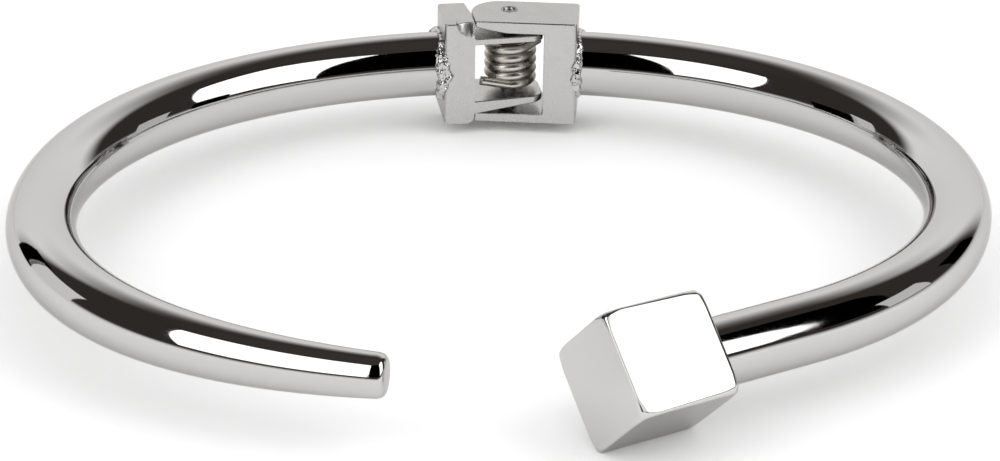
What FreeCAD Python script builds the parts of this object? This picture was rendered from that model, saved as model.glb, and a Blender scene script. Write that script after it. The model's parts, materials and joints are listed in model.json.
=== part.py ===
import FreeCAD, Part
import math
import os

import Sketcher
from FreeCAD import Placement, Rotation, Vector

# Open hinged bangle, millimetres.  The origin is the centre of the wrist opening, half way up
# the bars.  +Z is up, +Y points to the hinge and +X points to the half that carries the cube.

doc = FreeCAD.newDocument("Bangle")

# name: (value, what it is)
DIMENSIONS = {
    "bar_diameter": (4.8, "round bar at the hinge"),
    "hinge_line": (28.76, "from the origin to the bars' centre line at the hinge"),
    "plain_width": (29.75, "half width of the cube half, to the bar's centre line"),
    "plain_depth": (25.6, "half depth of the cube half"),
    "plain_skew": (-0.2, "how much deeper that oval is behind its middle"),
    "plain_fullness": (0.005, "swell of that oval between its axes, as a share"),
    "plain_end_diameter": (4.6, "round bar where it meets the cube"),
    "taper_width": (33.05, "half width of the tapered half, to the bar's centre line"),
    "taper_depth": (27.2, "half depth of the tapered half"),
    "taper_skew": (1.5, "how much deeper that oval is behind its middle"),
    "taper_fullness": (0.0095, "swell of that oval between its axes, as a share"),
    "tip_diameter": (2.9, "tapered tip"),
    "tip_rounding": (0.55, "edge radius of the tip"),
    "taper_power": (2.2, "how late the bar starts to thin"),
    "taper_start": (85.0, "angle along the oval where it starts to thin"),
    "tip_angle": (163.0, "angle along the oval where the tip ends"),
    "plain_end_angle": (146.2, "angle along the oval where the straight end starts"),
    "straight_end": (8.25, "straight run of bar before the cube"),
    "cube_side": (7.15, "cube, across the bar"),
    "cube_length": (7.5, "cube, along the bar"),
    "cube_turn": (43.6, "cube turned about the bar from lying flat"),
    "cube_rounding": (0.55, "edge radius of the cube"),
    "bar_start": (5.22, "from the pin to the outer end of each hinge block"),
    "block_turn": (6.0, "each hinge block follows its own bar by this angle"),
    "block_front": (2.8, "from the pin to the inner face of the blocks"),
    "block_back": (1.8, "from the pin to the outer face of the blocks"),
    "block_height": (8.0, "hinge blocks"),
    "pin_setback": (0.5, "pin behind the bars' centre line"),
    "pin_diameter": (1.2, "hinge pin"),
    "pin_clearance": (0.04, "radial clearance of the pin in the swinging ears"),
    "upper_cheek": (3.1, "from mid height to the underside of the upper cheek"),
    "upper_cheek_knee": (3.35, "the same, where the underside turns up towards the thin end"),
    "upper_cheek_end": (3.68, "the same, at the thin end"),
    "knee_reach": (1.6, "from the pin to that turn"),
    "lower_cheek": (3.31, "from mid height to the top side of the lower cheek"),
    "cheek_stop": (2.87, "from the pin to the closing face of the cheeks"),
    "cheek_corner": (2.2, "rounding of the cheeks behind the pin"),
    "stop_gap": (0.08, "gap at the closed stop"),
    "plain_web": (2.75, "from the pin to the inside of the cube half's web"),
    "upper_ear_top": (2.78, "from mid height to the top side of the upper ear"),
    "upper_ear_under": (2.27, "from mid height to the underside of the upper ear"),
    "lower_ear_top": (2.22, "from mid height to the top side of the lower ear at its root"),
    "lower_ear_top_tip": (2.02, "the same, at its tip"),
    "lower_ear_root": (3.2, "from mid height to the lower ear's underside at its root"),
    "lower_ear_tip": (2.5, "the same, at its tip"),
    "ear_reach": (2.3, "from the pin to the tip of the ears"),
    "ear_front": (2.5, "from the pin to the front of the ears"),
    "ear_corner": (1.75, "rounding of the ears' tips behind the pin"),
    "ear_front_corner": (0.9, "rounding of the ears' tips in front"),
    "web_corner_left": (0.4, "rounding under the tapered half's web, bar side"),
    "web_corner_right": (0.6, "rounding under the tapered half's web, pin side"),
    "facet_drop": (1.25, "hollow filed on the front upper corner of that web, down"),
    "facet_depth": (0.45, "the same, back"),
    "facet_start": (4.35, "from the pin to where that hollow starts"),
    "facet_steep": (3.98, "from the pin to where it has most of its depth"),
    "facet_level": (3.42, "from the pin to where it levels out"),
    "notch_width": (0.22, "notch behind the tapered half's web, across"),
    "notch_length": (2.1, "notch behind the tapered half's web, along"),
    "spring_radius": (1.62, "torsion spring, to the middle of its wire"),
    "spring_wire": (0.66, "torsion spring wire"),
    "spring_pitch": (0.70, "torsion spring, one coil to the next"),
    "spring_coils": (4.1, "torsion spring"),
    "leg_gap": (0.45, "from each leg's end to the web that it pushes"),
    "bead_radius": (0.5, "weld bead where a bar meets its block"),
    "bead_stand_off": (0.2, "middle of the bead beyond the block's end"),
}

SAME_PLACE = 0.01  # mm, two points this near are one
SAME_ANGLE = 1e-9  # degrees
WIDEST_START = 45.0  # degrees along the oval, past the end of either hinge block
NEAR_TIP = 0.3  # mm, from the tip's centre to the middle of its edge
ANY_TURN = 10.0  # degrees, until the formula on a section's plane sets its own
LEVEL_SHARE = "0.92"  # shares of the filed hollow's full size where it levels out,
STEEP_SHARE = "0.62"  # where it is steepest,
VANISHING = "0.02"  # and at its thin end
PLAIN_SECTIONS = 11
TAPER_SECTIONS = 15


def make_sheet():
    """The driving dimensions, one row each: name, value, meaning."""
    sheet = doc.addObject("Spreadsheet::Sheet", "dims")
    for row, (name, (value, meaning)) in enumerate(DIMENSIONS.items(), start=1):
        sheet.set(f"A{row}", name)
        sheet.set(f"B{row}", str(value))
        sheet.set(f"C{row}", meaning)
        sheet.setAlias(f"B{row}", name)
    doc.recompute()
    return sheet


dims = make_sheet()


def dim(name):
    """Value of one named cell."""
    return float(dims.get(name))


def bind(feature, path, formula):
    """Bind a property to a formula over the sheet's cells."""
    feature.setExpression(path, formula)


def make_body(name):
    body = doc.addObject("PartDesign::Body", name)
    body.Label = name
    return body


def origin_plane(body, role):
    for feature in body.Origin.OriginFeatures:
        if feature.Role == role:
            return feature
    raise ValueError(role)


def make_sketch(body, name, role):
    """Empty sketch on one of the body's own origin planes."""
    sketch = body.newObject("Sketcher::SketchObject", name)
    sketch.AttachmentSupport = [(origin_plane(body, role), "")]
    sketch.MapMode = "FlatFace"
    return sketch


def draw_circle(sketch, radius, across="0", along="0"):
    """Circle whose radius and centre are formulas."""
    value = sketch.evalExpression(radius)
    circle = sketch.addGeometry(Part.Circle(Vector(0, 0, 0), Vector(0, 0, 1), float(value)))
    constraint = sketch.addConstraint(Sketcher.Constraint("Radius", circle, float(value)))
    bind(sketch, f"Constraints[{constraint}]", radius)
    for kind, formula in (("DistanceX", across), ("DistanceY", along)):
        place = float(sketch.evalExpression(formula))
        constraint = sketch.addConstraint(Sketcher.Constraint(kind, -1, 1, circle, 3, place))
        bind(sketch, f"Constraints[{constraint}]", formula)


def draw_outline(sketch, corners):
    """Closed outline of straight edges; each corner is a pair of formulas."""
    places = [[float(sketch.evalExpression(formula)) for formula in corner] for corner in corners]
    count = len(places)
    for index, place in enumerate(places):
        following = places[(index + 1) % count]
        sketch.addGeometry(Part.LineSegment(Vector(*place, 0), Vector(*following, 0)))
    for index in range(count):
        sketch.addConstraint(Sketcher.Constraint("Coincident", index, 2, (index + 1) % count, 1))
    for index, (corner, place) in enumerate(zip(corners, places)):
        for kind, formula, value in zip(("DistanceX", "DistanceY"), corner, place):
            constraint = sketch.addConstraint(Sketcher.Constraint(kind, -1, 1, index, 1, value))
            bind(sketch, f"Constraints[{constraint}]", formula)


def add_pad(body, sketch, length):
    """Pad half each way from the sketch's plane."""
    pad = body.newObject("PartDesign::Pad", sketch.Name + "_pad")
    pad.Profile = sketch
    pad.SideType = "Symmetric"
    bind(pad, "Length", length)
    doc.recompute()
    return pad


def add_pocket(body, sketch):
    """Cut right through, both ways from the sketch's plane, and make sure it cut."""
    before = body.Tip.Shape.Volume
    pocket = body.newObject("PartDesign::Pocket", sketch.Name + "_pocket")
    pocket.Profile = sketch
    pocket.SideType = "Symmetric"
    pocket.Type = "ThroughAll"
    doc.recompute()
    if pocket.Shape.Volume >= before:
        raise RuntimeError(sketch.Name + " cut nothing")
    return pocket


def add_fillet(body, edges, radius):
    """Round the chosen edges of the body's tip."""
    base = body.Tip
    fillet = body.newObject("PartDesign::Fillet", body.Name + "_rounding")
    fillet.Base = (base, edges)
    bind(fillet, "Radius", radius)
    base.Visibility = False
    doc.recompute()
    return fillet


def edges_where(shape, test):
    return [f"Edge{number}" for number, edge in enumerate(shape.Edges, start=1) if test(edge)]


def upright_edge_at(x, y):
    """Test for straight upright edges at a place in plan."""
    def test(edge):
        ends = [vertex.Point for vertex in edge.Vertexes]
        return len(ends) == 2 and all(math.hypot(end.x - x, end.y - y) < SAME_PLACE for end in ends)
    return test


def level_edge_at(x, z):
    """Test for straight edges that run front to back at a place in elevation."""
    def test(edge):
        ends = [vertex.Point for vertex in edge.Vertexes]
        return len(ends) == 2 and all(math.hypot(end.x - x, end.z - z) < SAME_PLACE for end in ends)
    return test


# ---------------------------------------------------------------------------------------------
# The two bars.  Each follows half an oval.  With the angle a measured from the hinge:
#   x = side * width * ((1 + fullness) * sin(a) + fullness * sin(3a))
#   y = middle + depth * ((1 + fullness) * cos(a) - fullness * cos(3a)) + skew * cos(a)^2

def oval_formulas(half, side, angle):
    """Place and heading of the oval at an angle, as formulas over the sheet."""
    width, depth = f"dims.{half}_width", f"dims.{half}_depth"
    skew, fullness = f"dims.{half}_skew", f"dims.{half}_fullness"
    middle = f"(dims.hinge_line - {depth} - {skew})"
    turn = f"({angle} * 1 deg)"
    triple = f"(3 * {angle} * 1 deg)"
    x = f"{side} * {width} * ((1 + {fullness}) * sin({turn}) + {fullness} * sin({triple}))"
    y = (f"{middle} + {depth} * ((1 + {fullness}) * cos({turn}) - {fullness} * cos({triple}))"
         f" + {skew} * cos({turn}) ^ 2")
    slope_x = f"{side} * {width} * ((1 + {fullness}) * cos({turn}) + 3 * {fullness} * cos({triple}))"
    slope_y = (f"(-{depth} * ((1 + {fullness}) * sin({turn}) - 3 * {fullness} * sin({triple}))"
               f" - 2 * {skew} * cos({turn}) * sin({turn}))")
    return x, y, slope_x, slope_y


def oval_place(half, side, angle):
    """The same place and heading as numbers."""
    return [float(dims.evalExpression(text)) for text in oval_formulas(half, side, angle)]


def section_across_bar(body, name, half, side, angle, radius, heading=None):
    """Round section square to the oval, or on a plane turned from -Y by a heading formula."""
    x, y, slope_x, slope_y = oval_formulas(half, side, angle)
    sketch = make_sketch(body, name, "XZ_Plane")
    sketch.AttachmentOffset = Placement(Vector(), Rotation(Vector(0, 1, 0), ANY_TURN))
    bind(sketch, "AttachmentOffset.Base.x", x)
    bind(sketch, "AttachmentOffset.Base.z", f"-({y})")
    bind(sketch, "AttachmentOffset.Rotation.Angle", heading or f"atan2({slope_x}; -({slope_y}))")
    draw_circle(sketch, radius)
    return sketch


def bar_start_angle(half, side):
    """Angle along the oval where the bar meets the end of its hinge block."""
    pin_y = dim("hinge_line") + dim("pin_setback")
    turn = math.radians(dim("block_turn"))
    low, high = 0.0, WIDEST_START
    while high - low > SAME_ANGLE:
        middle = (low + high) / 2
        x, y = oval_place(half, side, middle)[:2]
        reach = abs(x) * math.cos(turn) + (pin_y - y) * math.sin(turn)
        if reach < dim("bar_start"):
            low = middle
        else:
            high = middle
    return low


def loft_bar(body, half, side, angles, radius_at):
    """Loft through round sections at the given angles along the oval."""
    on_block = f"{side} * (90 deg - dims.block_turn * 1 deg)"
    sections = [
        section_across_bar(body, f"{half}_section_{number}", half, side, angle, radius_at(angle),
                           heading=on_block if number == 0 else None)
        for number, angle in enumerate(angles)
    ]
    doc.recompute()
    loft = body.newObject("PartDesign::AdditiveLoft", half + "_loft")
    loft.Profile = sections[0]
    loft.Sections = sections[1:]
    loft.Ruled = False
    doc.recompute()
    return loft


def spread(first, last, count):
    """Evenly spread values, both ends included."""
    return [first + (last - first) * step / (count - 1) for step in range(count)]


def make_plain_arm():
    """Cube half: a near-even bar with a straight end that meets the cube."""
    body = make_body("right_arm")
    start = bar_start_angle("plain", 1)
    end = dim("plain_end_angle")

    def radius_at(angle):
        share = (angle - start) / (end - start)
        return f"(dims.bar_diameter + (dims.plain_end_diameter - dims.bar_diameter) * {share}) / 2"

    loft_bar(body, "plain", 1, spread(start, end, PLAIN_SECTIONS), radius_at)
    straight = section_across_bar(body, "straight_section", "plain", 1, end, radius_at(end))
    pad = body.newObject("PartDesign::Pad", "straight_pad")
    pad.Profile = straight
    bind(pad, "Length", "dims.straight_end")
    doc.recompute()
    return body


def make_tapered_arm():
    """Free half: a bar that thins to a rounded tip."""
    body = make_body("left_arm")
    start = bar_start_angle("taper", -1)
    end = dim("tip_angle")

    def radius_at(angle):
        share = max(0.0, (angle - dim("taper_start")) / (end - dim("taper_start")))
        thinned = f"(dims.bar_diameter - dims.tip_diameter) * {share} ^ dims.taper_power"
        return f"(dims.bar_diameter - {thinned}) / 2"

    loft_bar(body, "taper", -1, spread(start, end, TAPER_SECTIONS), radius_at)
    tip = Vector(*oval_place("taper", -1, end)[:2], 0)
    ring = edges_where(body.Tip.Shape, lambda edge: (edge.CenterOfMass - tip).Length < NEAR_TIP)
    add_fillet(body, ring, "dims.tip_rounding")
    return body


# ---------------------------------------------------------------------------------------------
# The cube on the end of the plain arm

def make_cube():
    """Cube on the bar's own line, turned about it, with softly rounded edges."""
    body = make_body("cube")
    sketch = make_sketch(body, "cube_face", "YZ_Plane")
    half = "dims.cube_side / 2"
    draw_outline(sketch, [(f"-{half}", f"-{half}"), (half, f"-{half}"), (half, half), (f"-{half}", half)])
    pad = body.newObject("PartDesign::Pad", "cube_pad")
    pad.Profile = sketch
    bind(pad, "Length", "dims.cube_length")
    doc.recompute()
    add_fillet(body, edges_where(pad.Shape, lambda edge: True), "dims.cube_rounding")
    x, y, slope_x, slope_y = oval_place("plain", 1, dim("plain_end_angle"))
    along = Vector(slope_x, slope_y, 0).normalize()
    place = Vector(x, y, 0) + along * dim("straight_end")
    heading = Rotation(Vector(0, 0, 1), math.degrees(math.atan2(along.y, along.x)))
    body.Placement = Placement(place, heading * Rotation(Vector(1, 0, 0), dim("cube_turn")))
    return body


# ---------------------------------------------------------------------------------------------
# The hinge.  Each block is drawn about the pin, X along its own bar, then turned to follow it.

def hinge_placement(turn):
    pin = Vector(0, dim("hinge_line") + dim("pin_setback"), 0)
    return Placement(pin, Rotation(Vector(0, 0, 1), turn))


def make_outer_block():
    """Cube half's block: a web with a cheek above and below, which hold the pin."""
    body = make_body("outer_hinge_block")
    plan = make_sketch(body, "cheek_plan", "XY_Plane")
    meeting = "(2 * dims.block_turn * 1 deg)"
    stop_x = f"-dims.cheek_stop * cos({meeting})"
    stop_y = f"-dims.cheek_stop * sin({meeting})"
    front_x = f"-(dims.cheek_stop - dims.block_front * sin({meeting})) / cos({meeting})"
    draw_outline(plan, [
        ("dims.bar_start", "-dims.block_front"),
        ("dims.bar_start", "dims.block_back"),
        (stop_x, "dims.block_back"),
        (stop_x, stop_y),
        (front_x, "-dims.block_front"),
    ])
    add_pad(body, plan, "dims.block_height")
    corner_x = -dim("cheek_stop") * math.cos(math.radians(2 * dim("block_turn")))
    corner = upright_edge_at(corner_x, dim("block_back"))
    add_fillet(body, edges_where(body.Tip.Shape, corner), "dims.cheek_corner")
    window = make_sketch(body, "outer_window", "XZ_Plane")
    draw_outline(window, [
        ("-2 * dims.cheek_stop", "-dims.lower_cheek"),
        ("dims.plain_web", "-dims.lower_cheek"),
        ("dims.plain_web", "dims.upper_cheek"),
        ("0", "dims.upper_cheek"),
        ("-dims.knee_reach", "dims.upper_cheek_knee"),
        ("-dims.cheek_stop", "dims.upper_cheek_end"),
        ("-2 * dims.cheek_stop", "dims.upper_cheek_end"),
    ])
    add_pocket(body, window)
    hole = make_sketch(body, "cheek_hole", "XY_Plane")
    draw_circle(hole, "dims.pin_diameter / 2")
    add_pocket(body, hole)
    body.Placement = hinge_placement(-dim("block_turn"))
    return body


def make_inner_block():
    """Tapered half's block: a web with two ears that turn on the pin between the cheeks."""
    body = make_body("inner_hinge_block")
    web = make_sketch(body, "web_plan", "XY_Plane")
    stop = "(dims.cheek_stop + dims.stop_gap)"
    stop_x = dim("cheek_stop") + dim("stop_gap")
    draw_outline(web, [
        ("-dims.bar_start", "-dims.block_front"),
        (f"-{stop}", "-dims.block_front"),
        (f"-{stop}", "dims.block_back - dims.notch_length"),
        (f"-{stop} - dims.notch_width", "dims.block_back"),
        ("-dims.bar_start", "dims.block_back"),
    ])
    add_pad(body, web, "dims.block_height")
    file_web_corner(body, stop)
    underside = -dim("block_height") / 2
    for x, rounding in ((-dim("bar_start"), "web_corner_left"), (-stop_x, "web_corner_right")):
        add_fillet(body, edges_where(body.Tip.Shape, level_edge_at(x, underside)), f"dims.{rounding}")
    ears = make_sketch(body, "ear_plan", "XY_Plane")
    draw_outline(ears, [
        (f"-{stop} - dims.notch_width", "-dims.block_front"),
        (f"-{stop}", "-dims.block_front"),
        ("dims.ear_reach", "-dims.ear_front"),
        ("dims.ear_reach", "dims.block_back"),
        (f"-{stop} - dims.notch_width", "dims.block_back"),
    ])
    add_pad(body, ears, "2 * dims.lower_ear_root")
    reach = dim("ear_reach")
    for y, rounding in ((dim("block_back"), "ear_corner"), (-dim("ear_front"), "ear_front_corner")):
        add_fillet(body, edges_where(body.Tip.Shape, upright_edge_at(reach, y)), f"dims.{rounding}")
    far = "2 * dims.ear_reach"
    for name, outline in (
        ("over_ears", [
            (f"-{stop}", "dims.upper_ear_top"),
            (far, "dims.upper_ear_top"),
            (far, "dims.block_height / 2"),
            (f"-{stop}", "dims.block_height / 2"),
        ]),
        ("between_ears", [
            (f"-{stop}", "-dims.lower_ear_top"),
            ("dims.ear_reach", "-dims.lower_ear_top_tip"),
            (far, "-dims.lower_ear_top_tip"),
            (far, "dims.upper_ear_under"),
            (f"-{stop}", "dims.upper_ear_under"),
        ]),
        ("under_ears", [
            (f"-{stop}", "-dims.lower_ear_root"),
            ("dims.ear_reach", "-dims.lower_ear_tip"),
            (far, "-dims.lower_ear_tip"),
            (far, "-dims.block_height / 2"),
            (f"-{stop}", "-dims.block_height / 2"),
        ]),
    ):
        opening = make_sketch(body, name, "XZ_Plane")
        draw_outline(opening, outline)
        add_pocket(body, opening)
    hole = make_sketch(body, "ear_hole", "XY_Plane")
    draw_circle(hole, "dims.pin_diameter / 2 + dims.pin_clearance")
    add_pocket(body, hole)
    body.Placement = hinge_placement(dim("block_turn"))
    return body


def file_web_corner(body, stop):
    """Hollow filed in the web's front upper edge: full at the stop face, nothing at its start."""
    sections = []
    stations = (
        ("facet_full", f"-{stop}", "1"),
        ("facet_levels", "-dims.facet_level", LEVEL_SHARE),
        ("facet_steepens", "-dims.facet_steep", STEEP_SHARE),
        ("facet_vanishes", "-dims.facet_start", VANISHING),
    )
    for name, offset, share in stations:
        sketch = make_sketch(body, name, "YZ_Plane")
        bind(sketch, "AttachmentOffset.Base.z", offset)
        draw_outline(sketch, [
            ("-dims.block_front", "dims.block_height / 2"),
            ("-dims.block_front", f"dims.block_height / 2 - {share} * dims.facet_drop"),
            (f"-dims.block_front + {share} * dims.facet_depth", "dims.block_height / 2"),
        ])
        sections.append(sketch)
    before = body.Tip.Shape.Volume
    wedge = body.newObject("PartDesign::SubtractiveLoft", "filed_corner")
    wedge.Profile, wedge.Sections = sections[0], sections[1:]
    doc.recompute()
    if wedge.Shape.Volume >= before:
        raise RuntimeError("filed_corner cut nothing")


def make_pin():
    """Pin pressed into the cheeks, flush with their outer faces."""
    pin = doc.addObject("Part::Cylinder", "hinge_pin")
    pin.Label = "hinge_pin"
    bind(pin, "Radius", "dims.pin_diameter / 2")
    bind(pin, "Height", "dims.block_height")
    base = hinge_placement(0).Base
    pin.Placement = Placement(base - Vector(0, 0, dim("block_height") / 2), Rotation())
    return pin


def make_spring():
    """Torsion spring round the pin: a helix with a straight leg at each end, swept with round wire."""
    radius, wire_radius = dim("spring_radius"), dim("spring_wire") / 2
    height = dim("spring_pitch") * dim("spring_coils")
    helix = Part.makeHelix(dim("spring_pitch"), height, radius)
    helix.translate(Vector(0, 0, -height / 2))
    helix.rotate(Vector(0, 0, 0), Vector(0, 0, 1), -90)
    path = Part.Wire(helix.Edges)
    line = path.Edges[0]
    low_end, high_end = line.valueAt(line.FirstParameter), line.valueAt(line.LastParameter)
    low_way, high_way = line.tangentAt(line.FirstParameter), line.tangentAt(line.LastParameter)
    round_wire = Part.Wire([Part.Circle(low_end, low_way, wire_radius).toShape()])
    coil = path.makePipeShell([round_wire], True, True)
    low_length = dim("cheek_stop") + dim("stop_gap") - dim("leg_gap")
    high_length = (dim("plain_web") - dim("leg_gap") - high_end.x) / high_way.x
    low_leg = Part.makeCylinder(wire_radius, low_length, low_end, -low_way)
    high_leg = Part.makeCylinder(wire_radius, high_length, high_end, high_way)
    spring = doc.addObject("Part::Feature", "torsion_spring")
    spring.Label = "torsion_spring"
    spring.Shape = coil.fuse([low_leg, high_leg])
    spring.Placement = hinge_placement(0)
    return spring


def make_weld_bead(name, half, side):
    """Bead of filler round the bar where it meets its hinge block: a ring cut flush with both."""
    x, y, slope_x, slope_y = oval_place(half, side, bar_start_angle(half, side))
    ring = doc.addObject("Part::Torus", name + "_ring")
    bind(ring, "Radius1", "dims.bar_diameter / 2")
    bind(ring, "Radius2", "dims.bead_radius")
    heading = Rotation(Vector(0, 0, 1), Vector(slope_x, slope_y, 0))
    stand_off = Vector(slope_x, slope_y, 0).normalize() * dim("bead_stand_off")
    ring.Placement = Placement(Vector(x, y, 0) + stand_off, heading)
    arm = doc.getObject("left_arm" if side < 0 else "right_arm")
    block = doc.getObject("inner_hinge_block" if side < 0 else "outer_hinge_block")
    bare = doc.addObject("Part::Cut", name + "_bare")
    bare.Base = ring
    bare.Tool = arm
    bead = doc.addObject("Part::Cut", name)
    bead.Base = bare
    bead.Tool = block
    bead.Label = name
    doc.recompute()
    return bead


parts = [
    make_tapered_arm(),
    make_plain_arm(),
    make_cube(),
    make_outer_block(),
    make_inner_block(),
    make_pin(),
    make_spring(),
]
doc.recompute()
parts.append(make_weld_bead("left_weld_bead", "taper", -1))
parts.append(make_weld_bead("right_weld_bead", "plain", 1))
doc.recompute()

for item in doc.Objects:
    if "Invalid" in item.State or "Error" in item.State:
        raise RuntimeError(f"{item.Name}: {item.State}")
for item in parts:
    if item.Shape.isNull() or not item.Shape.isValid():
        raise RuntimeError(item.Label + " has no valid shape")

os.makedirs("parts", exist_ok=True)
for item in parts:
    item.Shape.exportStep(f"parts/{item.Label}.step")
    box = item.Shape.BoundBox
    print(f"{item.Label:20s} solids {len(item.Shape.Solids)} volume {item.Shape.Volume:9.3f}"
          f" x {box.XMin:7.2f} {box.XMax:7.2f} y {box.YMin:7.2f} {box.YMax:7.2f}"
          f" z {box.ZMin:6.2f} {box.ZMax:6.2f}")
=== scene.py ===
import json
import math

import bmesh
import bpy
from mathutils import Matrix, Vector, noise


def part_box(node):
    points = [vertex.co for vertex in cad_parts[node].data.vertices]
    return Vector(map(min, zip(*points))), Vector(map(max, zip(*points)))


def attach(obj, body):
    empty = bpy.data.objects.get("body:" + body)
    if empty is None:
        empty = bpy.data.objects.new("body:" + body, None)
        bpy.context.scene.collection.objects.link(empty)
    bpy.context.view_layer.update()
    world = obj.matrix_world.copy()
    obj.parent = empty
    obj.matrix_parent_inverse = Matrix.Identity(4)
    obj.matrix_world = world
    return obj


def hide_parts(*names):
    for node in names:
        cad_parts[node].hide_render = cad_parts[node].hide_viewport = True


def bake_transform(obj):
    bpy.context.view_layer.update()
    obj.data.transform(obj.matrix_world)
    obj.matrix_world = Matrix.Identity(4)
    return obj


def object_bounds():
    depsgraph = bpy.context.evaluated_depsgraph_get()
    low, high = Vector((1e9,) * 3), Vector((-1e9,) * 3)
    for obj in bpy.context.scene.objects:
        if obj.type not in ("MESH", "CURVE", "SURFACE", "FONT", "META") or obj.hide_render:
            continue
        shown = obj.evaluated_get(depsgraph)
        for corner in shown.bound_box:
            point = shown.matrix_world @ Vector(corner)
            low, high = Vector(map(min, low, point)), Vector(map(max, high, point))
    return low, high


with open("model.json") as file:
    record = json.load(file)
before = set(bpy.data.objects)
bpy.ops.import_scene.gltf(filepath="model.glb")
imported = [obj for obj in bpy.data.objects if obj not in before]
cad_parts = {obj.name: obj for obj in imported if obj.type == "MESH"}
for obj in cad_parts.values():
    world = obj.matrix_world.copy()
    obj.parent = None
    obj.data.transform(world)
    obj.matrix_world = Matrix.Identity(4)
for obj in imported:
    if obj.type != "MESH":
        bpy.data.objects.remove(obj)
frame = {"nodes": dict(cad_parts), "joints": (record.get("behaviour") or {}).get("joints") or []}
cad_low, cad_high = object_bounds()
scene = bpy.context.scene

MM = 0.001
UP = Vector((0, 0, 1))

# ---------------------------------------------------------------------------------------------
# Plan of the two halves: two half ovals that meet a little in front of the hinge pin.  Lengths
# are in metres, angles in degrees from the hinge.

LEFT_LOW, LEFT_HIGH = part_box("left_arm")
BAR_RADIUS = LEFT_HIGH.z
HINGE = next(joint for joint in frame["joints"] if joint["name"] == "hinge")
PIN = Vector(HINGE["pos_m"])
PIN_SETBACK = 0.5 * MM
HINGE_LINE = PIN.y - PIN_SETBACK
ANGLE_STEP = 0.01


class Oval:
    """Half an oval in plan: side -1 is the tapered half, side 1 the cube half."""

    def __init__(self, side, width, depth, skew, fullness):
        self.side = side
        self.width = width
        self.depth = depth
        self.skew = skew
        self.fullness = fullness
        self.middle = HINGE_LINE - depth - skew

    def place(self, angle):
        """Point of the bar's centre line at an angle."""
        turn = math.radians(angle)
        full = 1 + self.fullness
        x = self.side * self.width * (full * math.sin(turn) + self.fullness * math.sin(3 * turn))
        swell = full * math.cos(turn) - self.fullness * math.cos(3 * turn)
        y = self.middle + self.depth * swell + self.skew * math.cos(turn) ** 2
        return Vector((x, y, 0))

    def heading(self, angle):
        """Unit vector along the centre line, away from the hinge."""
        return (self.place(angle + ANGLE_STEP) - self.place(angle - ANGLE_STEP)).normalized()


TAPERED = Oval(side=-1, width=-LEFT_LOW.x - BAR_RADIUS, depth=27.2 * MM, skew=1.5 * MM, fullness=0.0095)
PLAIN = Oval(side=1, width=29.75 * MM, depth=25.6 * MM, skew=-0.2 * MM, fullness=0.005)


# ---------------------------------------------------------------------------------------------
# Short calls for objects and node trees

def mesh_of(shape, name):
    """Mesh made of a bmesh, which is freed."""
    mesh = bpy.data.meshes.new(name)
    shape.to_mesh(mesh)
    shape.free()
    return mesh


def add_object(name, data):
    thing = bpy.data.objects.new(name, data)
    scene.collection.objects.link(thing)
    return thing


def add_quad(name, corners, material):
    """Flat sheet with four corners."""
    mesh = bpy.data.meshes.new(name)
    mesh.from_pydata(corners, [], [(0, 1, 2, 3)])
    mesh.materials.append(material)
    return add_object(name, mesh)


def new_material(name):
    material = bpy.data.materials.new(name)
    material.use_nodes = True
    material.node_tree.nodes.clear()
    return material


class NodeKit:
    """Short calls for building a node tree."""

    def __init__(self, tree):
        self.tree = tree

    def node(self, kind, **settings):
        node = self.tree.nodes.new(kind)
        for name, value in settings.items():
            setattr(node, name, value)
        return node

    def link(self, source, target):
        self.tree.links.new(source, target)

    def surface(self, source):
        """Make a shader the material's surface."""
        output = self.node("ShaderNodeOutputMaterial")
        self.link(source, output.inputs["Surface"])

    def math(self, operation, *values):
        node = self.node("ShaderNodeMath", operation=operation)
        for socket, value in zip(node.inputs, values):
            if isinstance(value, (int, float)):
                socket.default_value = value
            else:
                self.link(value, socket)
        return node.outputs["Value"]

    def fade(self, value, low, high, to_low=0.0, to_high=1.0):
        """Smooth step from to_low, where the value is low, to to_high, where it is high."""
        node = self.node("ShaderNodeMapRange", interpolation_type="SMOOTHSTEP")
        self.link(value, node.inputs["Value"])
        node.inputs["From Min"].default_value = low
        node.inputs["From Max"].default_value = high
        node.inputs["To Min"].default_value = to_low
        node.inputs["To Max"].default_value = to_high
        return node.outputs["Result"]

    def noise(self, coordinates, scale, detail):
        node = self.node("ShaderNodeTexNoise")
        node.inputs["Scale"].default_value = scale
        node.inputs["Detail"].default_value = detail
        self.link(coordinates, node.inputs["Vector"])
        return node.outputs["Fac"]

    def bump(self, relief, distance, normal=None):
        """Normal bumped by a relief, on top of another bump if one is given."""
        node = self.node("ShaderNodeBump")
        node.inputs["Strength"].default_value = 1.0
        node.inputs["Distance"].default_value = distance
        self.link(relief, node.inputs["Height"])
        if normal:
            self.link(normal, node.inputs["Normal"])
        return node.outputs["Normal"]


# ---------------------------------------------------------------------------------------------
# Camera

CAMERA_PLACE = Vector((-13.787, -236.237, 104.183)) * MM
CAMERA_LIFT = 23.97
CAMERA_TURN = -2.90
CAMERA_ROLL = 0.96
LENS = 136.35
SENSOR = 36.0
SHIFT = (-0.00122, -0.00150)
NEAREST_SEEN = 0.01
FARTHEST_SEEN = 100.0


def make_camera():
    """Long lens in front of the object and above it, a little left of the middle."""
    data = bpy.data.cameras.new("camera")
    data.lens = LENS
    data.sensor_width = SENSOR
    data.shift_x, data.shift_y = SHIFT
    data.clip_start = NEAREST_SEEN
    data.clip_end = FARTHEST_SEEN
    camera = add_object("camera", data)
    turn, lift = math.radians(CAMERA_TURN), math.radians(CAMERA_LIFT)
    forward = Vector((-math.sin(turn) * math.cos(lift), math.cos(turn) * math.cos(lift), -math.sin(lift)))
    aim = forward.to_track_quat("-Z", "Y").to_matrix().to_4x4()
    roll = Matrix.Rotation(math.radians(CAMERA_ROLL), 4, "Z")
    camera.matrix_world = Matrix.Translation(CAMERA_PLACE) @ aim @ roll
    scene.camera = camera


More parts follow.
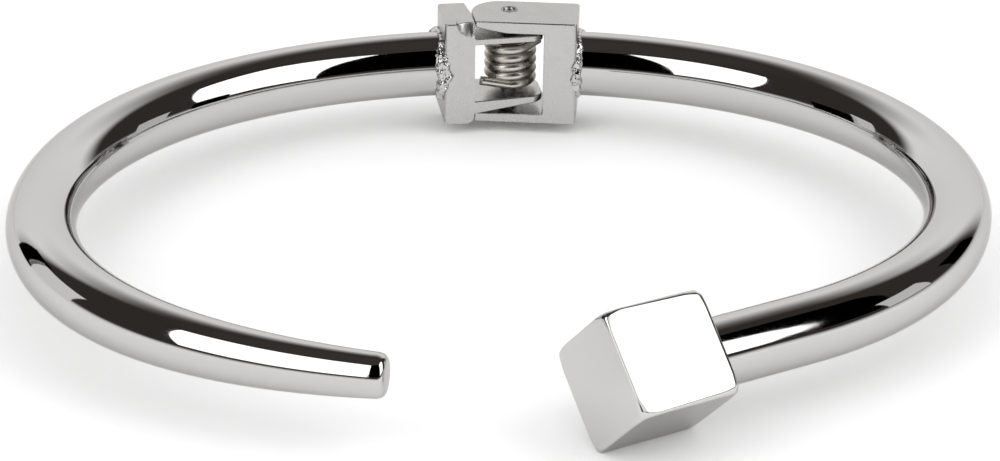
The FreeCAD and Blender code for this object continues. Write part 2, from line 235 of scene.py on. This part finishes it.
# ---------------------------------------------------------------------------------------------
# Floor, surroundings and room

FLOOR_HALF = 6.0
FLOOR_PALE = (0.93, 0.93, 0.93, 1)
BACKDROP_RADIUS = FLOOR_HALF * 1.6
BACKDROP_GLOW = 1.0
FILL_RADIUS = FLOOR_HALF * 1.4
FILL_GLOW = 1.0
SPHERE_SEGMENTS = 32


def make_glow(name, strength):
    """White glowing material."""
    material = new_material(name)
    kit = NodeKit(material.node_tree)
    glow = kit.node("ShaderNodeEmission")
    glow.inputs["Strength"].default_value = strength
    kit.surface(glow.outputs["Emission"])
    return material


def make_floor():
    """Pale table that the object lies on."""
    material = new_material("floor")
    kit = NodeKit(material.node_tree)
    shader = kit.node("ShaderNodeBsdfDiffuse")
    shader.inputs["Color"].default_value = FLOOR_PALE
    kit.surface(shader.outputs["BSDF"])
    signs = ((-1, -1), (1, -1), (1, 1), (-1, 1))
    corners = [(x * FLOOR_HALF, y * FLOOR_HALF, cad_low.z) for x, y in signs]
    floor = add_quad("floor", corners, material)


def make_surround(name, radius, strength, camera):
    """Glowing sphere round everything: seen by the camera, or only lighting the floor softly."""
    shape = bmesh.new()
    bmesh.ops.create_uvsphere(shape, u_segments=SPHERE_SEGMENTS, v_segments=SPHERE_SEGMENTS // 2,
                              radius=radius)
    mesh = mesh_of(shape, name)
    mesh.materials.append(make_glow(name, strength))
    surround = add_object(name, mesh)
    surround.visible_camera = camera
    surround.visible_diffuse = not camera
    surround.visible_glossy = False
    surround.visible_transmission = False
    surround.visible_shadow = False


# Glow of the dark room and of its ceiling, with the elevations where the ceiling starts and is full.
ROOM_DARK = 0.045
CEILING_DARK = 0.06
CEILING_FROM = 55
CEILING_FULL = 75
# Pale wall behind the object: where it starts and is full, as shares of straight back, and the
# elevations of its top and of where it is full.
WALL_GLOW = 1.1
WALL_FROM = 0.64
WALL_FULL = 0.82
WALL_TOP = 61
WALL_FULL_BELOW = 27
HORIZON_TOP = 9
# The dark is warm.  What is paler than a certain share of the wall is white.
WARM = (1.0, 0.86, 0.80, 1)
WHITE = (1, 1, 1, 1)
WHITE_FROM = 0.4
LEAST_LEVEL = 1e-4


def height(elevation):
    """Height of a unit vector with this elevation in degrees."""
    return math.sin(math.radians(elevation))


def make_world():
    """Dark room, a pale wall low down behind the object, and a pale line along the horizon."""
    world = bpy.data.worlds.new("studio")
    scene.world = world
    world.use_nodes = True
    world.node_tree.nodes.clear()
    kit = NodeKit(world.node_tree)
    split = kit.node("ShaderNodeSeparateXYZ")
    kit.link(kit.node("ShaderNodeTexCoord").outputs["Generated"], split.inputs["Vector"])
    y, z = split.outputs["Y"], split.outputs["Z"]
    level_squared = kit.math("SUBTRACT", 1.0, kit.math("MULTIPLY", z, z))
    level = kit.math("SQRT", kit.math("MAXIMUM", level_squared, LEAST_LEVEL))
    behind = kit.fade(kit.math("DIVIDE", y, level), WALL_FROM, WALL_FULL)
    wall = kit.math("MULTIPLY", behind, kit.fade(z, height(WALL_TOP), height(WALL_FULL_BELOW)))
    horizon = kit.fade(z, height(HORIZON_TOP), height(0))
    pale = kit.math("MAXIMUM", wall, horizon)
    dark = kit.fade(z, height(CEILING_FROM), height(CEILING_FULL), ROOM_DARK, CEILING_DARK)
    strength = kit.math("ADD", dark, kit.math("MULTIPLY", pale, WALL_GLOW))
    tint = kit.node("ShaderNodeMix", data_type="RGBA")
    kit.link(kit.fade(pale, 0.0, WHITE_FROM), tint.inputs["Factor"])
    tint.inputs["A"].default_value = WARM
    tint.inputs["B"].default_value = WHITE
    background = kit.node("ShaderNodeBackground")
    kit.link(tint.outputs["Result"], background.inputs["Color"])
    kit.link(strength, background.inputs["Strength"])
    output = kit.node("ShaderNodeOutputWorld")
    kit.link(background.outputs["Background"], output.inputs["Surface"])


# ---------------------------------------------------------------------------------------------
# Softboxes and cards

SOFTBOX_DISTANCE = 0.45
SIDE_CARD_X = 110


def direction(azimuth, elevation):
    """Unit vector; azimuth 0 is towards -Y, positive towards +X."""
    turn, lift = math.radians(azimuth), math.radians(elevation)
    return Vector((math.sin(turn) * math.cos(lift), -math.cos(turn) * math.cos(lift), math.sin(lift)))


def make_card(name, corners, strength):
    """Glowing quad, part of the studio and hidden from the camera."""
    card = add_quad(name, corners, make_glow(name, strength))
    card.visible_camera = False
    return card


def make_softbox(name, left_edge, right_edge, strength):
    """Softbox between two edges, each given by the directions of its lower and upper end."""
    directions = (right_edge[0], left_edge[0], left_edge[1], right_edge[1])
    return make_card(name, [direction(*corner) * SOFTBOX_DISTANCE for corner in directions], strength)


def make_side_card(name, side, near, far, low, high, strength):
    """Small upright card beside the object, its places in mm."""
    outline = ((near, low), (far, low), (far, high), (near, high))
    corners = [Vector((side * SIDE_CARD_X, y, z)) * MM for y, z in outline]
    card = make_card(name, corners, strength)
    card.visible_shadow = False
    return card


def flag_card(card, piece, lit):
    """Flag a card off: it lights only this piece, or everything but this piece."""
    receivers = bpy.data.collections.new(card.name + "_flag")
    receivers.objects.link(piece)
    receivers.collection_objects[0].light_linking.link_state = "INCLUDE" if lit else "EXCLUDE"
    card.light_linking.receiver_collection = receivers
    card.visible_diffuse = not lit


# ---------------------------------------------------------------------------------------------
# Metals

EDGE_TINT = (0.72, 0.71, 0.70, 1)
GLOSS_SCALE = 1100.0
GLOSS_DETAIL = 4.0
GLOSS_LOW, GLOSS_HIGH = 0.25, 0.75
RIPPLE_DETAIL = 1.0
GRAIN_SCALE = 6000.0
GRAIN_DETAIL = 3.0


def make_metal(name, color, roughness, ripple, ripple_size, grain=0.0, uneven=0.3):
    """Metal with a faint polishing ripple, fine grain and uneven gloss."""
    material = new_material(name)
    kit = NodeKit(material.node_tree)
    shader = kit.node("ShaderNodeBsdfPrincipled")
    shader.inputs["Base Color"].default_value = (*color, 1)
    shader.inputs["Metallic"].default_value = 1.0
    shader.inputs["Specular Tint"].default_value = EDGE_TINT
    coordinates = kit.node("ShaderNodeTexCoord").outputs["Object"]
    gloss = kit.noise(coordinates, GLOSS_SCALE, GLOSS_DETAIL)
    smoothest, roughest = roughness * (1 - uneven), roughness * (1 + uneven)
    kit.link(kit.fade(gloss, GLOSS_LOW, GLOSS_HIGH, smoothest, roughest), shader.inputs["Roughness"])
    normal = kit.bump(kit.noise(coordinates, 1 / ripple_size, RIPPLE_DETAIL), ripple)
    if grain:
        normal = kit.bump(kit.noise(coordinates, GRAIN_SCALE, GRAIN_DETAIL), grain, normal)
    kit.link(normal, shader.inputs["Normal"])
    kit.surface(shader.outputs["BSDF"])
    return material


POLISHED = make_metal("polished_metal", (0.55, 0.545, 0.535), roughness=0.04,
                      ripple=0.006 * MM, ripple_size=4 * MM)
CUBE_METAL = make_metal("cube_metal", (0.62, 0.615, 0.605), roughness=0.12,
                        ripple=0.004 * MM, ripple_size=3 * MM)
HINGE_METAL = make_metal("hinge_metal", (0.52, 0.515, 0.50), roughness=0.27,
                         ripple=0.001 * MM, ripple_size=1.5 * MM, grain=0.0001 * MM, uneven=0.1)
PIN_METAL = make_metal("pin_metal", (0.44, 0.435, 0.43), roughness=0.32,
                       ripple=0.01 * MM, ripple_size=0.4 * MM, grain=0.001 * MM)
SPRING_METAL = make_metal("spring_metal", (0.64, 0.605, 0.56), roughness=0.32,
                          ripple=0.003 * MM, ripple_size=0.5 * MM)
WELD_METAL = make_metal("weld_metal", (0.60, 0.59, 0.58), roughness=0.18,
                        ripple=0.03 * MM, ripple_size=0.3 * MM)


# ---------------------------------------------------------------------------------------------
# Building pieces

def finish_piece(name, mesh, material, body, node):
    """Put a mesh in the scene, riding on its body, if one is given, in place of a CAD node."""
    piece = add_object(name, mesh)
    mesh.name = name
    mesh.materials.clear()
    mesh.materials.append(material)
    for polygon in mesh.polygons:
        polygon.use_smooth = True
    if body:
        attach(piece, body)
    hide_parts(node)
    return piece


def sweep_rings(rings, joined=False):
    """Tube of rings of points: its ends are capped by fans, or joined to close the loop."""
    shape = bmesh.new()
    loops = [[shape.verts.new(point) for point in ring] for ring in rings]
    next_loops = loops[1:] + loops[:1] if joined else loops[1:]
    for first, second in zip(loops, next_loops):
        count = len(first)
        for index in range(count):
            following = (index + 1) % count
            shape.faces.new((first[index], first[following], second[following], second[index]))
    ends = () if joined else (loops[0], loops[-1])
    for loop in ends:
        centre = shape.verts.new(sum((vertex.co for vertex in loop), Vector()) / len(loop))
        for index in range(len(loop)):
            shape.faces.new((loop[index], loop[(index + 1) % len(loop)], centre))
    bmesh.ops.recalc_face_normals(shape, faces=shape.faces)
    return mesh_of(shape, "tube")


RING_POINTS = 96


def full_turn(count):
    """Angles in radians, evenly spaced round a circle."""
    return [2 * math.pi * index / count for index in range(count)]


def ring_axes(along):
    """Two unit vectors square to a heading: sideways and upwards."""
    across = along.cross(UP).normalized()
    return across, across.cross(along).normalized()


def ring(centre, along, radius, count=RING_POINTS):
    """Circle of points square to a heading."""
    across, up = ring_axes(along)
    return [centre + (across * math.cos(turn) + up * math.sin(turn)) * radius for turn in full_turn(count)]


def spread(first, last, count):
    """Evenly spaced values, both ends included."""
    return [first + (last - first) * step / (count - 1) for step in range(count)]


def smooth_step(value, low, high):
    share = min(1.0, max(0.0, (value - low) / (high - low)))
    return share * share * (3 - 2 * share)


# ---------------------------------------------------------------------------------------------
# Bars

BLOCK_END = 5.22 * MM
BLOCK_TURN = math.radians(6.0)
INTO_BLOCK = 0.3 * MM


def start_angle(oval):
    """Angle where the bar reaches its hinge block's end, a little inside it."""
    angle = 0.0
    while True:
        place = oval.place(angle)
        reach = abs(place.x) * math.cos(BLOCK_TURN) + (PIN.y - place.y) * math.sin(BLOCK_TURN)
        if reach > BLOCK_END - INTO_BLOCK:
            return angle
        angle += ANGLE_STEP


TIP_ANGLE = 163.0
TAPER_START = 85.0
TAPER_POWER = 2.2
TIP_RADIUS = 1.45 * MM
TIP_ROUNDING = 0.55 * MM
TIP_STEP = 0.02
TIP_RINGS = 14
TIP_FACE_SHARES = (0.6, 0.25)
TAPERED_RINGS = 260


def taper_radius(angle):
    share = max(0.0, (angle - TAPER_START) / (TIP_ANGLE - TAPER_START))
    return BAR_RADIUS - (BAR_RADIUS - TIP_RADIUS) * share ** TAPER_POWER


def make_left_arm():
    """Round bar that tapers to a blunt tip with a rounded rim."""
    tip = TAPERED.place(TIP_ANGLE)
    end = TIP_ANGLE
    while (TAPERED.place(end) - tip).length < TIP_ROUNDING:
        end -= TIP_STEP
    angles = spread(start_angle(TAPERED), end, TAPERED_RINGS)
    rings = [ring(TAPERED.place(angle), TAPERED.heading(angle), taper_radius(angle)) for angle in angles]
    along = TAPERED.heading(TIP_ANGLE)
    for step in range(1, TIP_RINGS + 1):
        turn = math.pi / 2 * step / TIP_RINGS
        centre = tip - along * TIP_ROUNDING * (1 - math.sin(turn))
        rings.append(ring(centre, along, TIP_RADIUS - TIP_ROUNDING * (1 - math.cos(turn))))
    for share in TIP_FACE_SHARES:
        rings.append(ring(tip, along, (TIP_RADIUS - TIP_ROUNDING) * share))
    mesh = sweep_rings(rings)
    return finish_piece("tapered_bar", mesh, POLISHED, "tapered_half", "left_arm")


PLAIN_END_ANGLE = 146.2
PLAIN_END_RADIUS = 2.3 * MM
STRAIGHT_END = 8.25 * MM
INTO_CUBE = 0.3 * MM
PLAIN_RINGS = 240
STRAIGHT_RINGS = 24


def make_right_arm():
    """Round bar, a little thinner towards the cube, with a straight end that goes into it."""
    angles = spread(start_angle(PLAIN), PLAIN_END_ANGLE, PLAIN_RINGS)
    radii = spread(BAR_RADIUS, PLAIN_END_RADIUS, PLAIN_RINGS)
    rings = [ring(PLAIN.place(angle), PLAIN.heading(angle), radius) for angle, radius in zip(angles, radii)]
    along = PLAIN.heading(PLAIN_END_ANGLE)
    end = PLAIN.place(PLAIN_END_ANGLE)
    for run in spread(0, STRAIGHT_END + INTO_CUBE, STRAIGHT_RINGS)[1:]:
        rings.append(ring(end + along * run, along, PLAIN_END_RADIUS))
    mesh = sweep_rings(rings)
    return finish_piece("plain_bar", mesh, POLISHED, "cube_half", "right_arm")


# ---------------------------------------------------------------------------------------------
# Cube

CUBE_SIDE = 7.15 * MM
CUBE_LENGTH = 7.5 * MM
CUBE_TURN = math.radians(43.6)
# Roundings of the edges and of the corners, at the bar's end and at the free end.
CUBE_ROUNDING = 0.45 * MM
CUBE_FREE_ROUNDING = 0.16 * MM
CUBE_CORNER = 0.65 * MM
CUBE_FREE_CORNER = 0.5 * MM
CORNER_FROM = 0.6
CUBE_GRID = 72
CUBE_JOIN = 0.0005 * MM


def cube_rounding(spot):
    """Rounding near a spot of the cube, given as shares of its half sizes; +X is its free end."""
    free_end = (1 + spot.x) / 2
    rounding = CUBE_ROUNDING + (CUBE_FREE_ROUNDING - CUBE_ROUNDING) * free_end
    at_corner = CUBE_CORNER + (CUBE_FREE_CORNER - CUBE_CORNER) * free_end
    corner = smooth_step(min(abs(share) for share in spot), CORNER_FROM, 1.0)
    return rounding + (at_corner - rounding) * corner


def round_off(spot, half):
    """Point of the sharp box moved onto the rounded one."""
    rounding = cube_rounding(spot)
    point = Vector(share * size for share, size in zip(spot, half))
    core = Vector(max(-size + rounding, min(size - rounding, value)) for value, size in zip(point, half))
    return core + (point - core).normalized() * rounding


def add_cube_face(shape, axis, side, half):
    """Grid over one face of the cube, its lines closer together towards the edges."""
    shares = [math.sin(math.pi / 2 * (2 * step / CUBE_GRID - 1)) for step in range(CUBE_GRID + 1)]
    grid = []
    for first in shares:
        row = []
        for second in shares:
            spot = Vector((0, 0, 0))
            spot[axis] = side
            spot[(axis + 1) % 3] = first
            spot[(axis + 2) % 3] = second
            row.append(shape.verts.new(round_off(spot, half)))
        grid.append(row)
    for here, there in zip(grid, grid[1:]):
        for index in range(CUBE_GRID):
            shape.faces.new((here[index], here[index + 1], there[index + 1], there[index]))


def make_cube():
    """Cube on the bar's line, turned about it, its edges and corners rounded by polishing."""
    half = (CUBE_LENGTH / 2, CUBE_SIDE / 2, CUBE_SIDE / 2)
    shape = bmesh.new()
    for axis in range(3):
        for side in (-1.0, 1.0):
            add_cube_face(shape, axis, side, half)
    bmesh.ops.remove_doubles(shape, verts=shape.verts, dist=CUBE_JOIN)
    bmesh.ops.recalc_face_normals(shape, faces=shape.faces)
    along = PLAIN.heading(PLAIN_END_ANGLE)
    middle = PLAIN.place(PLAIN_END_ANGLE) + along * (STRAIGHT_END + CUBE_LENGTH / 2)
    heading = Matrix.Rotation(math.atan2(along.y, along.x), 4, "Z")
    place = Matrix.Translation(middle) @ heading @ Matrix.Rotation(CUBE_TURN, 4, "X")
    bmesh.ops.transform(shape, matrix=place, verts=shape.verts)
    return finish_piece("end_cube", mesh_of(shape, "cube"), CUBE_METAL, "cube_half", "cube")


# ---------------------------------------------------------------------------------------------
# Hinge

SHARP = math.radians(28)
FLAT = math.radians(1.0)
EDGE_ROUNDING = 0.09 * MM
EDGE_SEGMENTS = 3
END_ROUNDING = 0.3 * MM
END_SEGMENTS = 6
NEAR_END = 4.6 * MM
UPRIGHT = 0.1
BLOCK_JOIN = 0.002 * MM


def is_end_upright(edge):
    """Whether an edge stands upright at the bar end of a hinge block."""
    first, second = (vertex.co for vertex in edge.verts)
    level = math.hypot(first.x - second.x, first.y - second.y)
    return abs(first.x) > NEAR_END and level < abs(first.z - second.z) * UPRIGHT


def round_edges(shape, wanted, width, segments):
    """Round the sharp edges that are wanted."""
    sharp = [edge for edge in shape.edges
             if edge.is_manifold and edge.calc_face_angle(0) > SHARP and wanted(edge)]
    bmesh.ops.bevel(shape, geom=sharp, offset=width, segments=segments, profile=0.5,
                    affect="EDGES", clamp_overlap=False, harden_normals=False)


def make_block(node, name, body):
    """Hinge block: the CAD node's shape, its flat faces joined up again and its edges rounded."""
    mesh = frame["nodes"][node].data.copy()
    shape = bmesh.new()
    shape.from_mesh(mesh)
    bmesh.ops.remove_doubles(shape, verts=shape.verts, dist=BLOCK_JOIN)
    bmesh.ops.dissolve_limit(shape, angle_limit=FLAT, verts=shape.verts, edges=shape.edges)
    round_edges(shape, is_end_upright, END_ROUNDING, END_SEGMENTS)
    round_edges(shape, lambda edge: True, EDGE_ROUNDING, EDGE_SEGMENTS)
    shape.to_mesh(mesh)
    shape.free()
    piece = finish_piece(name, mesh, HINGE_METAL, body, node)
    # Weighted normals make the flat faces reflect as flats.
    weighted = piece.modifiers.new("weighted", "WEIGHTED_NORMAL")
    weighted.keep_sharp = True
    return piece


# Half of the pin's outline in mm, from its middle to the dimple in its peened head: radius, height.
PIN_OUTLINE = [(0.60, 0.0), (0.60, 3.97), (0.58, 3.985), (0.50, 3.985), (0.475, 3.96), (0.45, 3.87),
               (0.40, 3.86), (0.35, 3.93), (0.28, 3.945), (0.20, 3.90), (0.11, 3.85)]
PIN_POINTS = 48


def make_pin():
    """Pin with a peened, dimpled head at each end."""
    half = [(radius * MM, z * MM) for radius, z in PIN_OUTLINE]
    outline = [(radius, -z) for radius, z in reversed(half[1:])] + half
    turns = full_turn(PIN_POINTS)
    rings = []
    for radius, z in outline:
        rings.append([PIN + Vector((radius * math.cos(turn), radius * math.sin(turn), z)) for turn in turns])
    mesh = sweep_rings(rings)
    return finish_piece("peened_pin", mesh, PIN_METAL, "cube_half", "hinge_pin")


SPRING_RADIUS = 1.62 * MM
WIRE_RADIUS = 0.345 * MM
SPRING_PITCH = 0.70 * MM
SPRING_COILS = 4.1
SPRING_HEIGHT = SPRING_PITCH * SPRING_COILS
SPRING_SHIFT = Vector((0.12, 0, 0)) * MM
LOW_LEG = 2.35 * MM
HIGH_LEG = 1.4 * MM
LEG_LIFT = 0.25
STEPS_PER_COIL = 56
LEG_STEPS = 8
WIRE_POINTS = 24


def leg_way(end, before):
    """Heading of a leg that runs on from the coils' end and rises a little."""
    way = (end - before).normalized()
    return (way + UP * LEG_LIFT).normalized()


def make_spring():
    """Torsion spring: close coils and a leg at each end. It winds up as the hinge opens, but this mesh keeps
    one shape and rides on no body.
    """
    steps = int(STEPS_PER_COIL * SPRING_COILS)
    line = []
    for step in range(steps + 1):
        turn = 2 * math.pi * SPRING_COILS * step / steps - math.pi / 2
        rise = SPRING_HEIGHT * step / steps - SPRING_HEIGHT / 2
        line.append(Vector((SPRING_RADIUS * math.cos(turn), SPRING_RADIUS * math.sin(turn), rise)))
    low_way = leg_way(line[0], line[1])
    high_way = leg_way(line[-1], line[-2])
    low_leg = [line[0] + low_way * LOW_LEG * step / LEG_STEPS for step in range(LEG_STEPS, 0, -1)]
    high_leg = [line[-1] + high_way * HIGH_LEG * step / LEG_STEPS for step in range(1, LEG_STEPS + 1)]
    line = [PIN + SPRING_SHIFT + point for point in low_leg + line + high_leg]
    rings = []
    for index, point in enumerate(line):
        way = line[min(index + 1, len(line) - 1)] - line[max(index - 1, 0)]
        rings.append(ring(point, way.normalized(), WIRE_RADIUS, WIRE_POINTS))
    mesh = sweep_rings(rings)
    piece = finish_piece("spring_wire", mesh, SPRING_METAL, None, "torsion_spring")
    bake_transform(piece)
    return piece


# ---------------------------------------------------------------------------------------------
# Welds

# Thickness above and below the bar, and where the bead is heaped, at the bar's front and back.
BEAD_THIN = 0.16 * MM
TAPERED_BEAD_THICK = 0.52 * MM
PLAIN_BEAD_THICK = 0.38 * MM
HEAP_FROM, HEAP_FULL = 0.15, 0.85
BEAD_STAND_OFF = 0.06 * MM
# Depths of lumps and grit as shares of the bead's thickness, and their sizes.
LUMP_DEPTH = 0.5
LUMP_SIZE = 0.6 * MM
GRIT_DEPTH = 0.20
GRIT_SIZE = 0.24 * MM
FINE_GRIT_SIZE = 0.12 * MM
FINE_GRIT_SHARE = 0.5
BEAD_AROUND = 300
BEAD_ACROSS = 64


def make_bead(oval, name, body, node, thick):
    """Rough run of weld round the bar where it meets its block, heaped at the front and back."""
    angle = start_angle(oval)
    along = oval.heading(angle)
    centre = oval.place(angle) + along * (INTO_BLOCK + BEAD_STAND_OFF)
    across, up = ring_axes(along)
    rings = []
    for turn in full_turn(BEAD_AROUND):
        out = across * math.cos(turn) + up * math.sin(turn)
        bead = BEAD_THIN + (thick - BEAD_THIN) * smooth_step(abs(out.y), HEAP_FROM, HEAP_FULL)
        points = []
        for roll in full_turn(BEAD_ACROSS):
            way = out * math.cos(roll) + along * math.sin(roll)
            spot = centre + out * BAR_RADIUS + way * bead
            lump = noise.noise(spot / LUMP_SIZE) * LUMP_DEPTH
            fine_grit = noise.noise(spot / FINE_GRIT_SIZE) * FINE_GRIT_SHARE
            grit = (noise.noise(spot / GRIT_SIZE) + fine_grit) * GRIT_DEPTH
            points.append(spot + way * (lump + grit) * bead)
        rings.append(points)
    mesh = sweep_rings(rings, joined=True)
    return finish_piece(name, mesh, WELD_METAL, body, node)


# ---------------------------------------------------------------------------------------------
# The whole scene

scene.view_settings.view_transform = "Standard"
make_camera()
make_floor()
make_surround("backdrop", BACKDROP_RADIUS, BACKDROP_GLOW, camera=True)
make_surround("fill", FILL_RADIUS, FILL_GLOW, camera=False)
make_world()

tapered_bar = make_left_arm()
plain_bar = make_right_arm()
end_cube = make_cube()
make_block("outer_hinge_block", "cheek_block", "cube_half")
make_block("inner_hinge_block", "ear_block", "tapered_half")
make_pin()
make_spring()
make_bead(TAPERED, "tapered_weld", "tapered_half", "left_weld_bead", TAPERED_BEAD_THICK)
make_bead(PLAIN, "plain_weld", "cube_half", "right_weld_bead", PLAIN_BEAD_THICK)

# Edges of the softboxes from left to right: azimuth and elevation of the lower and upper end.
LEFT_EDGE = ((-60, 12), (-84, 53))
LEFT_SPLIT = ((-36, 12), (-37, 67))
GAP_LEFT = ((-19, 12), (-21, 67))
GAP_RIGHT = ((46, 12), (54, 67))
RIGHT_SPLIT = ((62, 14), (95, 62))
RIGHT_EDGE = ((83, 12), (106, 48))
SOFTBOX_GLOW = 2.3
GAP_GLOW = 1.1
make_softbox("softbox_left", LEFT_EDGE, LEFT_SPLIT, SOFTBOX_GLOW)
left_strip = make_softbox("softbox_left_strip", LEFT_SPLIT, GAP_LEFT, SOFTBOX_GLOW)
flag_card(left_strip, tapered_bar, lit=True)
make_softbox("softbox_right", GAP_RIGHT, RIGHT_SPLIT, SOFTBOX_GLOW)
right_outer = make_softbox("softbox_right_outer", RIGHT_SPLIT, RIGHT_EDGE, SOFTBOX_GLOW)
flag_card(right_outer, plain_bar, lit=False)
gap_card = make_softbox("softbox_gap", GAP_LEFT, GAP_RIGHT, GAP_GLOW)
flag_card(gap_card, end_cube, lit=True)

# Side cards: name, the bar that shows it, side, near and far Y and low and high Z in mm, glow.
SIDE_CARDS = (("left_near", tapered_bar, -1, 1, 50, 6, 42, 0.95),
              ("left_far", plain_bar, -1, 44, 74, 0, 50, 0.8),
              ("right_near", plain_bar, 1, -25, 5, 12, 42, 0.8),
              ("right_far", tapered_bar, 1, 27, 60, 12, 42, 0.7))
for card_name, bar, *place_and_glow in SIDE_CARDS:
    side_card = make_side_card("side_card_" + card_name, *place_and_glow)
    flag_card(side_card, bar, lit=True)
